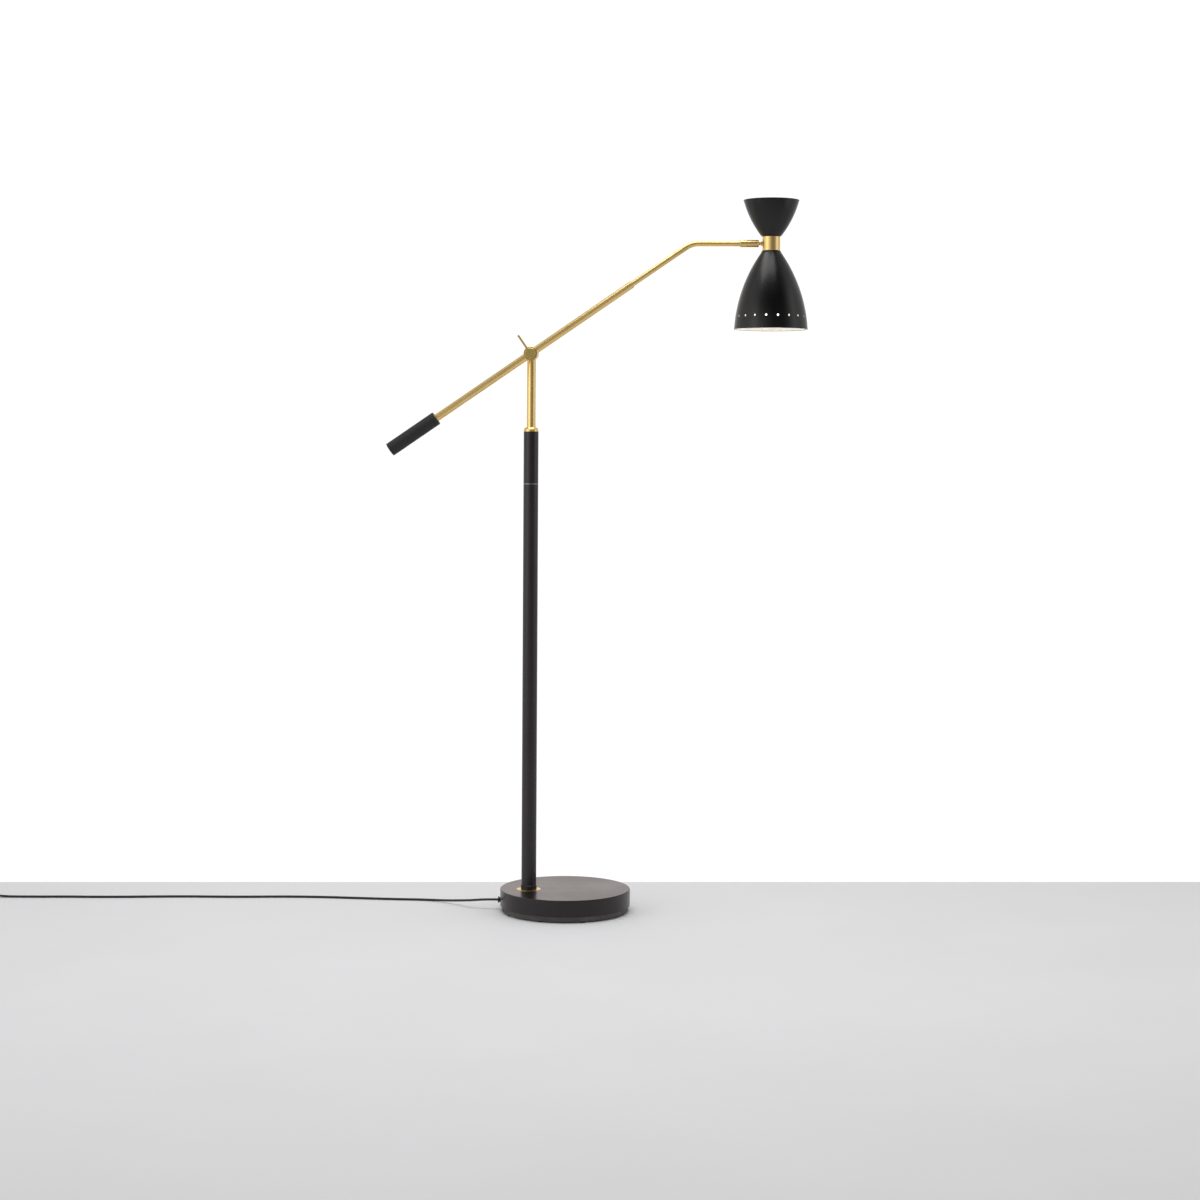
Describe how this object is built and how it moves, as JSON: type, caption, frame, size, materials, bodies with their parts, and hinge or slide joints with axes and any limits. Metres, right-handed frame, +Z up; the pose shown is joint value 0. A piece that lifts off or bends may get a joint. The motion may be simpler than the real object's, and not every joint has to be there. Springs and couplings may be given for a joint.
{
  "type": "adjustable arm floor lamp",
  "caption": "Floor lamp with a weighted round base, black pole, brass mast, tilting counterweighted arm and a turning black bell shade.",
  "frame": {"origin": "on the floor at the centre of the round base", "axes": "+Z up; +X from the pole towards the lamp head; -Y the front, where the clamp knob is"},
  "size_m": [2.0093, 0.28, 1.5285],
  "materials": {
    "satin_black_paint": "satin",
    "black_spun_shade": "satin",
    "brushed_brass": "brushed",
    "grey_cast_weight": "matte",
    "zinc_steel": "brushed",
    "black_rubber": "matte",
    "black_plastic": "matte",
    "grip_black": "matte",
    "natural_nylon": "matte",
    "fibre_washer": "matte",
    "phenolic_socket": "satin",
    "socket_brass": "satin",
    "bulb_glass": "frosted",
    "bulb_base_aluminium": "satin",
    "cord_jacket": "matte",
    "plug_brass": "polished"
  },
  "bodies": {
    "stand": {"base_cover": "satin_black_paint", "base_weight": "grey_cast_weight", "base_plate": "zinc_steel", "plate_screws": "zinc_steel", "base_feet": "black_rubber", "cord_grommet": "black_plastic", "pole_stud": "zinc_steel", "pole_washer": "zinc_steel", "pole_nut": "zinc_steel", "escutcheon_ring": "brushed_brass", "pole_foot_collar": "satin_black_paint", "pole_lower": "satin_black_paint", "pole_upper": "satin_black_paint", "pole_coupler": "zinc_steel", "thrust_washer": "natural_nylon", "swivel_bush": "natural_nylon", "pole_collar": "brushed_brass", "pole_lead": "cord_jacket", "cord_lead": "cord_jacket", "switch_base": "black_plastic", "switch_cover": "black_plastic", "switch_block": "phenolic_socket", "cord_link": "cord_jacket", "cord_coil": "cord_jacket", "cord_tail": "cord_jacket", "plug_body": "black_plastic", "plug_blades": "plug_brass"},
    "mast": {"mast_tube": "brushed_brass", "mast_retainer": "zinc_steel", "mast_knuckle": "brushed_brass", "hinge_bolt": "brushed_brass", "mast_lead": "cord_jacket"},
    "arm": {"friction_washer": "fibre_washer", "arm_hub": "brushed_brass", "arm_tube_front": "brushed_brass", "arm_tube_rear": "brushed_brass", "arm_shoulder": "brushed_brass", "arm_extension": "brushed_brass", "arm_lead": "cord_jacket", "counterweight_grip": "grip_black", "counterweight_core": "zinc_steel", "grip_end_cap": "grip_black"},
    "clamp": {"clamp_knob": "brushed_brass", "clamp_lever": "brushed_brass"},
    "sleeve": {"head_sleeve": "brushed_brass", "ball_seat": "natural_nylon"},
    "head": {"ball_stud": "brushed_brass", "stud_nut": "zinc_steel", "neck_band": "brushed_brass", "shade_lower": "black_spun_shade", "shade_upper": "black_spun_shade", "head_nipple": "zinc_steel", "head_nuts": "zinc_steel", "cap_nut": "brushed_brass", "lamp_socket": "phenolic_socket", "socket_shell": "socket_brass", "bulb_base": "bulb_base_aluminium", "bulb_glass": "bulb_glass", "head_lead": "cord_jacket"},
    "button": {"switch_button": "black_plastic"}
  },
  "joints": [
    {"name": "mast_swivel", "type": "hinge", "parent": "stand", "child": "mast", "pos_m": [-0.07714, -0.01923, 1.033], "axis": [0, 0, 1], "range_deg": [-170, 170]},
    {"name": "arm_tilt", "type": "hinge", "parent": "mast", "child": "arm", "pos_m": [-0.07714, -0.03923, 1.2], "axis": [0, -1, 0], "range_deg": [-75, 45]},
    {"name": "clamp_turn", "type": "hinge", "parent": "arm", "child": "clamp", "pos_m": [-0.07714, -0.05283, 1.2], "axis": [0, -1, 0], "range_deg": [0, 180]},
    {"name": "head_turn", "type": "hinge", "parent": "arm", "child": "sleeve", "pos_m": [0.40626, -0.03923, 1.436], "axis": [1, 0, 0], "range_deg": [-170, 170]},
    {"name": "head_tilt", "type": "hinge", "parent": "sleeve", "child": "head", "pos_m": [0.40626, -0.03923, 1.436], "axis": [0, -1, 0], "range_deg": [-28, 28]},
    {"name": "button_press", "type": "slide", "parent": "stand", "child": "button", "axis": [0, 0, -1], "range_m": [0, 0.0025], "stiffness_N_per_m": 400, "springref_m": -0.004}
  ]
}
